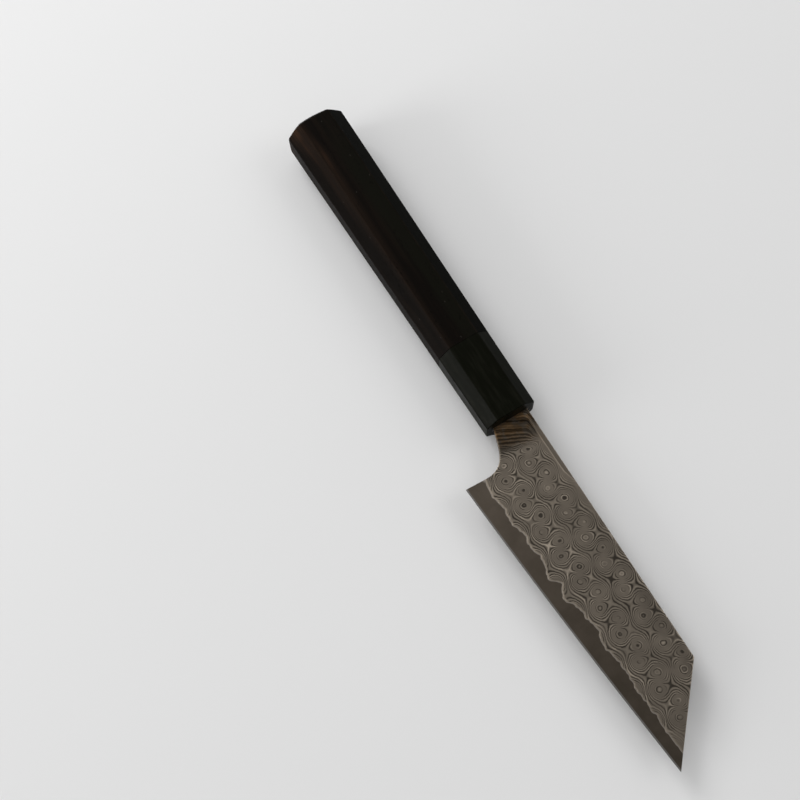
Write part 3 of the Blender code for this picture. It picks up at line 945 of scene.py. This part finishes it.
woodStretch = {  # waves a millimetre, along the fibres and across them
    "sway": (0.02, 0.05, 0.05),
    "bands": (0.012, 0.42, 0.42),
    "fibres": (0.12, 4.5, 4.5),
    "pores": (0.45, 4.2, 4.2),
    "thinPores": (0.05, 0.5, 0.5),
}


def steelGrain():
    # Fine scratches along one direction and soft blotches
    inputs = {"Place": "Vector", "Stretch": "Vector"}
    tree, given, result = newGroup("steelGrain", inputs, {"Scratches": "Float", "Blotches": "Float"})
    feed(result, {
        "Scratches": noise(given["Place"] * given["Stretch"], *grainNoise["scratches"]),
        "Blotches": noise(given["Place"], *grainNoise["blotches"]),
    })


def woodFibre():
    # Growth bands, fibres and pores that run along x
    outputs = {"Bands": "Float", "Fibres": "Float", "Pores": "Float"}
    inputs = {"Place": "Vector", "Pore Size": ("Float", 1.0)}
    tree, given, result = newGroup("woodFibre", inputs, outputs)
    sway = noise(given["Place"] * woodStretch["sway"], 1.0, 2.0)["Color"]
    grown = given["Place"] + (sway - 0.5) * (0.0, 5.0, 5.0)
    cells = {"Vector": grown * woodStretch["pores"], "Scale": 1.0, "Randomness": 1.0}
    cells = addNode(tree, "ShaderNodeTexVoronoi", cells)["Distance"]
    thin = noise(grown * woodStretch["thinPores"], 1.0, 2.0)
    feed(result, {
        "Bands": noise(grown * woodStretch["bands"], *grainNoise["bands"]),
        "Fibres": noise(grown * woodStretch["fibres"], *grainNoise["fibres"]),
        "Pores": cells < remap(thin, 0.4, 0.7, 0.05, 0.26) * given["Pore Size"],
    })


def handledWear():
    # Polish on the ridges and faint smudges, where a hand has held the piece
    inputs = {"Place": "Vector", "Ridge": "Float"}
    tree, given, result = newGroup("handledWear", inputs, {"Polish": "Float", "Smudges": "Float"})
    broken = remap(noise(given["Place"], *grainNoise["wornPatches"]), 0.35, 0.65)
    polish = given["Ridge"] * (broken * 0.6 + 0.4)
    feed(result, {"Polish": polish, "Smudges": noise(given["Place"], *grainNoise["smudges"])})


# Materials

def newMaterial(name):
    material = bpy.data.materials.new(name)
    material.use_nodes = True
    tree = material.node_tree
    return material, tree, tree.nodes["Principled BSDF"]


def bump(height, distance, strength):
    inputs = {"Height": height, "Distance": distance, "Strength": strength}
    return addNode(height.tree, "ShaderNodeBump", inputs)


def layered(colour, look, **shares):
    # Colours of one look laid over the first in turn, each by its share
    for name, share in shares.items():
        colour = mixColours(share, colour, look[name])
    return colour


def attribute(tree, name):
    return addNode(tree, "ShaderNodeAttribute", attribute_name=name)["Fac"]


def greyRamp(value, tones):
    ramp = addNode(value.tree, "ShaderNodeValToRGB", {0: value})
    stops = ramp.socket.node.color_ramp.elements
    while len(stops) < len(tones):
        stops.new(0.5)
    for stop, (place, tone) in zip(stops, tones):
        stop.position = place
        stop.color = (tone, tone, tone, 1.0)
    return ramp


patternedSteel = {
    "tint": (0.900, 0.768, 0.618),
    "tones": (
        (0.02, 0.060), (0.25, 0.085), (0.34, 0.145), (0.43, 0.225),
        (0.60, 0.275), (0.78, 0.440), (0.95, 0.680),
    ),
    "plain": 0.175,
    "line": 0.500,
    # the rounded rims: pale polished steel, partly a painted highlight
    "rim": 0.500,
    "bronze": (1.00, 0.74, 0.48),  # tint of the lines beside the ferrule
    "bronzeFade": (2.5, 8.5, 1.0, 0.30),
    "bronzePatches": (0.42, 0.62, 0.25, 1.0),
    "neckShade": (0.75, 0.37),  # painted shade on the neck, at the ferrule and in the middle
    "neckShadeRun": (0.5, 3.0),
    "neckShadeEnd": (6.0, 10.0),
    "stripPolish": (1.4, 0.95),  # how soon the strip along the spine leaves the painted neck shade, and the level it keeps there: a painted highlight on the strip
    "stripEdge": (-0.25, 0.0, 0.7, 0.0),
    "stripSway": 0.35,
    "paleLine": (0.05, 0.24, 0.80, 0.0),  # along the strip's edge
    "paleLineStart": (3.0, 5.0),
    "paleLineEnd": (19.0, 26.0, 1.0, 0.0),
    "weldLine": (0.14, 0.56, 0.85, 0.0),
    "weldLineFade": (40.0, 85.0, 1.0, 0.45),
    "blotches": (0.3, 0.7, 0.88, 1.08),
    "spineShade": (2.0, 5.5, 0.18, 0.0),  # painted shade below the spine
    "spineShadeStart": (18.0, 38.0),
    "etchPatches": (0.38, 0.58, 0.55, 1.0),
    "etchAtTip": (82.0, 96.0, 1.0, 0.5),
    "etchAtSpine": (1.2, 3.4, 0.75, 0.0),
    "etchAtSpineEnd": (28.0, 40.0, 1.0, 0.0),
    "etchAtSpineStart": (5.0, 9.0),
    "scratches": (0.25, 6.0, 1.0),
    "roughness": (0.46, 0.32),
    "relief": 0.000010,
}


def patternedFinish(name, shift, seed):
    look = patternedSteel
    material, tree, shader = newMaterial(name)
    own = knifeCoordinates(tree)
    pattern = useGroup("raindropLayers", {"Place": knifeCoordinates(tree, shift), "Seed": seed})
    grain = useGroup("steelGrain", {"Place": own, "Stretch": look["scratches"]})
    x, y, level = parts(own)
    depth = halfNeck / millimetre - y
    lines = pattern["Lines"] * patternStrength(own, x, depth) * 0.5 + 0.5
    grey = greyRamp(lines, look["tones"])
    strip, paleLine = spineStrip(x, depth)
    weldLine = remap(attribute(tree, "aboveWeld"), *look["weldLine"]) * remap(x, *look["weldLineFade"])
    # The rounded rims are painted paler: partly their polish, partly a painted highlight
    rim = attribute(tree, "rim") * 0.9
    for share, tone in ((strip, "plain"), (paleLine, "line"), (rim, "rim"), (weldLine, "line")):
        grey = mixColours(share, grey, (look[tone],) * 3)
    colour = mixColours(1.0, grey, look["tint"], "MULTIPLY")
    bronze = pattern["Neck"] * remap(x, *look["bronzeFade"])
    bronze = bronze * remap(noise(own, 0.45, 2.0), *look["bronzePatches"])
    colour = mixColours(bronze, colour, look["bronze"], "MULTIPLY")
    # Painted shade on the neck beside the ferrule, times the blotches' own tone
    paintedNeckTone = remap(x, *look["neckShadeRun"], *look["neckShade"])
    shade = remap(grain["Blotches"], *look["blotches"]) * remap(x, *look["neckShadeEnd"], paintedNeckTone, 1.0)
    # The strip along the spine is kept out of the painted neck shade, as a painted highlight
    soon, stripShadeLevel = look["stripPolish"]
    shade = mixed(strip * soon, shade, stripShadeLevel)
    # Painted shade: darker just below the spine, growing in along the blade
    shade = shade * (1.0 - remap(depth, *look["spineShade"]) * remap(x, *look["spineShadeStart"]))
    rough = remap(lines, 0.2, 0.9, *look["roughness"])
    feed(shader, {
        "Base Color": colour * shade,
        "Roughness": rough + (grain["Scratches"] - 0.5) * 0.12,
        "Metallic": 1.0,
        "Normal": bump(lines + grain["Scratches"] * 0.25, look["relief"], 0.6),
    })
    return material


def patternStrength(place, x, depth):
    # The etch is faint in patches, towards the tip and beside the spine near the handle
    look = patternedSteel
    patches = remap(noise(place, 0.22, 3.0), *look["etchPatches"])
    beside = remap(depth, *look["etchAtSpine"]) * remap(x, *look["etchAtSpineEnd"])
    beside = beside * remap(x, *look["etchAtSpineStart"])
    return patches * remap(x, *look["etchAtTip"]) * (1.0 - beside)


def spineStrip(x, depth):
    # The plain strip along the spine, and the pale line that bounds it
    look = patternedSteel
    first, full, last, gone = [place / millimetre for place in blade["facetStart"] + blade["facetEnd"]]
    width = remap(x, last, gone, blade["facetWidth"] / millimetre, 0.0)
    sway = (noise(x, 0.35, 2.0) - 0.5) * look["stripSway"]
    inside = depth - width + sway
    strip = remap(inside, *look["stripEdge"]) * remap(x, first, full)
    line = remap(calc("ABSOLUTE", inside), *look["paleLine"])
    return strip, line * remap(x, *look["paleLineStart"]) * remap(x, *look["paleLineEnd"])


coreSteel = {
    "band": (0.130, 0.107, 0.085),
    "dark": (0.080, 0.065, 0.050),
    "weldLine": (0.480, 0.430, 0.380),
    "bevel": (0.200, 0.190, 0.180),
    "darker": (12.0, 70.0, 0.75, 0.0),  # from the heel to the tip
    "weldRun": (0.08, 0.30, 0.7, 0.0),  # below the weld line
    "weldFoot": (0.3, 1.2, 0.75, 0.0),  # round its end at the choil
    "bevelEdge": (0.92, 1.05),  # in shares of the bevel's height
    "scratches": (8.0, 0.35, 1.0),
    "roughness": (0.38, 0.50),
    "relief": 0.000006,
}


def coreFinish():
    look = coreSteel
    material, tree, shader = newMaterial("coreSteel")
    place = knifeCoordinates(tree)
    grain = useGroup("steelGrain", {"Place": place, "Stretch": look["scratches"]})
    shade = remap(grain["Blotches"], 0.3, 0.7) * 0.35 + remap(parts(place)[0], *look["darker"], "LINEAR")
    above, below = attribute(tree, "aboveEdge"), attribute(tree, "belowWeld")
    foot = calc("DISTANCE", place * flatten, weldAt(0.0).to_3d() / millimetre)
    weldLine = remap(below, *look["weldRun"]) * remap(below, -0.2, -0.1)
    weldLine = calc("MAXIMUM", weldLine, remap(foot, *look["weldFoot"]))
    low, high = [share * blade["bevelHeight"] / millimetre for share in look["bevelEdge"]]
    bevel = remap(above, low, high, 1.0, 0.0)
    feed(shader, {
        "Base Color": layered(look["dark"], look, band=shade, weldLine=weldLine, bevel=bevel),
        "Roughness": remap(grain["Scratches"], 0.3, 0.7, *look["roughness"]),
        "Metallic": 1.0,
        "Normal": bump(grain["Scratches"], look["relief"], 0.5),
    })
    return material


ebony = {
    "black": (0.0046, 0.0036, 0.0029),
    "brown": (0.0150, 0.0094, 0.0066),
    "tan": (0.0420, 0.0205, 0.0110),
    # paler ridges: partly worn wood, partly a painted highlight
    "worn": (0.0190, 0.0135, 0.0095),
    "pore": (0.0014, 0.0011, 0.0009),
    "speck": (0.060, 0.055, 0.050),
    "streakMiddle": (-112.0, -94.0, -7.4, -4.3),  # on the edge-side flat at the butt, then along the ridge
    "streakReach": (-110.0, -40.0, 3.2, 1.5),
    "streakFade": (-105.0, -30.0, 1.0, 0.45),
    "tanFade": (-109.0, -84.0, 1.0, 0.20),
    "tanWhole": (-108.0, -102.0, 1.0, 0.0),  # unbroken at the butt
    "tanPatches": (0.42, 0.60, 0.15, 1.0),
    "farSide": (0.0056, 0.0056, 0.0038),  # painted shade: the half towards the spine darker, and its slanted flat darker still
    "farFlat": (0.0012, 0.0013, 0.0007),
    "farFrom": (-1.0, 2.0, 0.0, 0.85),
    "farFade": (-108.0, -84.0, 0.3, 1.0),
    "farFlatFrom": (4.2, 5.2, 0.0, 0.9),
    "brownShare": (0.35, 0.85),  # of the bands and of the streak
    "wornShare": 0.5,
    "speckShare": 0.6,
    "speckStretch": (0.35, 1.6, 1.6),
    "speckRarity": 0.93,
    "speckSize": 0.10,
    "roughness": (0.38, 0.54),
    "relief": 0.00003,
    "gloss": 0.014,
    "rimPolish": 0.25,
    "rimCoat": (0.40, 0.62, 0.10, 0.50),
}


def ebonyFinish():
    look = ebony
    material, tree, shader = newMaterial("darkEbony")
    place = knifeCoordinates(tree)
    wood = useGroup("woodFibre", {"Place": place, "Pore Size": 1.0})
    wear = useGroup("handledWear", {"Place": place, "Ridge": attribute(tree, "ridge")})
    x, y, level = parts(place)
    away = calc("ABSOLUTE", y - remap(x, *look["streakMiddle"])) / remap(x, *look["streakReach"], "LINEAR")
    streak = remap(away, 0.2, 1.1, 1.0, 0.0) * remap(x, *look["streakFade"])
    bands = remap(wood["Bands"], 0.42, 0.66)
    fibres = remap(wood["Fibres"], 0.3, 0.7, 0.55, 1.0)
    inBands, inStreak = look["brownShare"]
    brown = calc("MINIMUM", bands * inBands + streak * inStreak, 1.0)
    # Painted shade on the half towards the spine, its edge broken by the grain bands
    paintedFarShade = remap((wood["Bands"] - 0.5) * 6.0 + y, *look["farFrom"]) * remap(x, *look["farFade"])
    patches = remap(noise(place * (0.09, 0.30, 0.30), 1.0, 2.0), *look["tanPatches"])
    patches = calc("MAXIMUM", patches, remap(x, *look["tanWhole"]))
    tan = streak * bands * remap(x, *look["tanFade"]) * patches
    specks = addNode(tree, "ShaderNodeTexVoronoi", {"Vector": place * look["speckStretch"], "Scale": 1.0})
    speck = (parts(specks["Color"])[0] > look["speckRarity"]) * (specks["Distance"] < look["speckSize"])
    colour = layered(
        look["black"], look,
        brown=brown * fibres,
        # painted shade on the far side and on its slanted flat
        farSide=paintedFarShade,
        farFlat=remap(y, *look["farFlatFrom"]),
        tan=tan * fibres,
        # paler ridges: wear, and partly a painted highlight along the ridge
        worn=wear["Polish"] * look["wornShare"],
        pore=wood["Pores"],
        speck=speck * look["speckShare"],
    )
    rough = remap(wood["Fibres"], 0.3, 0.7, *look["roughness"])
    feed(shader, {
        "Base Color": colour,
        "Roughness": rough - wear["Polish"] * 0.10 + (wear["Smudges"] - 0.5) * 0.12,
        "Specular IOR Level": look["gloss"],
        "Coat Weight": attribute(tree, "backRim") * remap(wear["Smudges"], *look["rimCoat"]),
        "Coat Roughness": look["rimPolish"],
        "Normal": bump(wood["Fibres"] * 0.35 - wood["Pores"], look["relief"], 0.5),
    })
    return material


horn = {
    "black": (0.0038, 0.0041, 0.0023),
    "streak": (0.0078, 0.0079, 0.0052),
    "fibres": (0.10, 0.9, 0.9),
    "scratches": (0.4, 7.0, 7.0),
    "roughness": (0.30, 0.44),
    "relief": 0.000012,
    "gloss": 0.022,
}


def hornFinish():
    look = horn
    material, tree, shader = newMaterial("blackHorn")
    place = knifeCoordinates(tree)
    wear = useGroup("handledWear", {"Place": place, "Ridge": attribute(tree, "ridge")})
    fibres = noise(place * look["fibres"], 1.0, 4.0, 0.6)
    scratches = noise(place * look["scratches"], 1.0, 3.0, 0.7)
    rough = remap(scratches * 0.5 + wear["Smudges"] * 0.5, 0.35, 0.65, *look["roughness"])
    feed(shader, {
        "Base Color": layered(look["black"], look, streak=remap(fibres, 0.45, 0.72)),
        "Roughness": rough - wear["Polish"] * 0.08,
        "Specular IOR Level": look["gloss"],
        "Normal": bump(scratches, look["relief"], 0.4),
    })
    return material


dowelWood = {"pale": (0.52, 0.37, 0.21), "dark": (0.36, 0.24, 0.12), "roughness": 0.7, "relief": 0.00005}


def dowelFinish():
    material, tree, shader = newMaterial("paleDowel")
    wood = useGroup("woodFibre", {"Place": knifeCoordinates(tree), "Pore Size": 0.6})
    feed(shader, {
        "Base Color": layered(dowelWood["dark"], dowelWood, pale=remap(wood["Fibres"], 0.3, 0.7)),
        "Roughness": dowelWood["roughness"],
        "Normal": bump(wood["Fibres"], dowelWood["relief"], 0.5),
    })
    return material


resin = {"dark": (0.012, 0.011, 0.009), "pale": (0.030, 0.028, 0.024), "roughness": 0.38, "relief": 0.00004}


def resinFinish():
    material, tree, shader = newMaterial("curedResin")
    cloud = noise(knifeCoordinates(tree), 1.4, 4.0)
    feed(shader, {
        "Base Color": layered(resin["dark"], resin, pale=cloud),
        "Roughness": resin["roughness"],
        "Normal": bump(cloud, resin["relief"], 0.4),
    })
    return material


# The studio

camera = {
    "aim": (-0.01639, -0.01695, 0.0065),
    "distance": 0.3343,
    "elevation": math.radians(70.38),
    "azimuth": math.radians(-24.37),
    "roll": math.radians(-7.20),
    "lens": 53.775,
    "sensor": 36.0,
    "clip": (0.01, 40.0),
}

light = {
    "dimmest": (0.60, 0.20, 0.77),  # direction of the dimmest part of the surroundings
    "dimLevel": 0.15,
    "brightLevel": 0.92,
    "horizonLevel": 0.40,  # as pale as the far floor
    "horizonBlend": 0.30,
    "lamps": {  # azimuth and elevation in degrees, distance and size in metres, watts
        "buttSoftbox": (186, 32, 0.95, 0.45, 4.4),
        "edgeSoftbox": (-104, 14, 0.95, 0.45, 4.2),
        "spineSoftbox": (70, 38, 1.10, 0.50, 1.6),
    },
}

floorPaper = {"colour": (0.80, 0.80, 0.80), "size": 30.0, "below": 0.00005, "roughness": 0.9, "gloss": 0.1}


def towards(azimuth, elevation):
    level = math.cos(elevation)
    return Vector((level * math.cos(azimuth), level * math.sin(azimuth), math.sin(elevation)))


def placeCamera():
    lens = bpy.data.cameras.new("camera")
    lens.lens = camera["lens"]
    lens.sensor_width = camera["sensor"]
    lens.clip_start, lens.clip_end = camera["clip"]
    eye = newObject("camera", lens)
    back = towards(camera["azimuth"], camera["elevation"])
    eye.location = Vector(camera["aim"]) + back * camera["distance"]
    eye.rotation_mode = "QUATERNION"
    eye.rotation_quaternion = back.to_track_quat("Z", "Y") @ Quaternion((0, 0, 1), camera["roll"])
    bpy.context.scene.camera = eye


def paleFloor():
    shape = bmesh.new()
    bmesh.ops.create_grid(shape, x_segments=1, y_segments=1, size=floorPaper["size"] / 2)
    floor = looseObject("floor", shape)
    floor.location.z = -floorPaper["below"]
    material, tree, shader = newMaterial("floorPaper")
    feed(shader, {
        "Base Color": (*floorPaper["colour"], 1.0),
        "Roughness": floorPaper["roughness"],
        "Specular IOR Level": floorPaper["gloss"],
    })
    floor.data.materials.append(material)


def softLight():
    world = bpy.data.worlds.new("studio")
    bpy.context.scene.world = world
    world.use_nodes = True
    tree = world.node_tree
    direction = addNode(tree, "ShaderNodeTexCoord")["Generated"]
    facing = calc("DOT_PRODUCT", direction, Vector(light["dimmest"]).normalized())
    level = remap(facing, 0.0, 1.0, light["brightLevel"], light["dimLevel"], "LINEAR")
    above = remap(parts(direction)[2], 0.0, light["horizonBlend"])
    feed(tree.nodes["Background"], {"Color": mixed(above, light["horizonLevel"], level)})
    for name, (azimuth, elevation, distance, size, power) in light["lamps"].items():
        lamp = bpy.data.lights.new(name, "AREA")
        lamp.size = size
        lamp.energy = power
        holder = newObject(name, lamp)
        away = towards(math.radians(azimuth), math.radians(elevation))
        holder.location = Vector(camera["aim"]) + away * distance
        holder.rotation_euler = away.to_track_quat("Z", "Y").to_euler()


bpy.context.scene.view_settings.view_transform = "Standard"
placeCamera()
paleFloor()
softLight()
print("camera, floor and light placed")

# pressedDrop comes first, because raindropLayers uses it
for makeGroup in (pressedDrop, raindropLayers, steelGrain, woodFibre, handledWear):
    makeGroup()
print("shader groups made")

band = coreBand()
band.data.materials.append(coreFinish())
right = patternedCladding("patternedRight", 1)
right.data.materials.append(patternedFinish("patternedSteelRight", (0.0, 0.0, 0.0), 3.0))
left = patternedCladding("patternedLeft", -1)
left.data.materials.append(patternedFinish("patternedSteelLeft", (3.1, 2.2, 0.0), 8.0))
print("blade made")

loft = octagonLoft()
collar = ferrule(loft, hornFinish())
wood = grip(loft, ebonyFinish())
print("handle made")

for node, finish in (("tang_dowel", dowelFinish()), ("tang_bedding", resinFinish())):
    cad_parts[node].data.materials.clear()
    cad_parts[node].data.materials.append(finish)

for piece, node, finish in (
    (band, "blade_core", "core_steel"),
    (right, "cladding_right", "patterned_steel"),
    (left, "cladding_left", "patterned_steel"),
    (collar, "ferrule", "ferrule_black"),
    (wood, "handle_body", "dark_wood"),
):
    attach(piece, "root")
    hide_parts(node)
print("pieces ride on the knife")
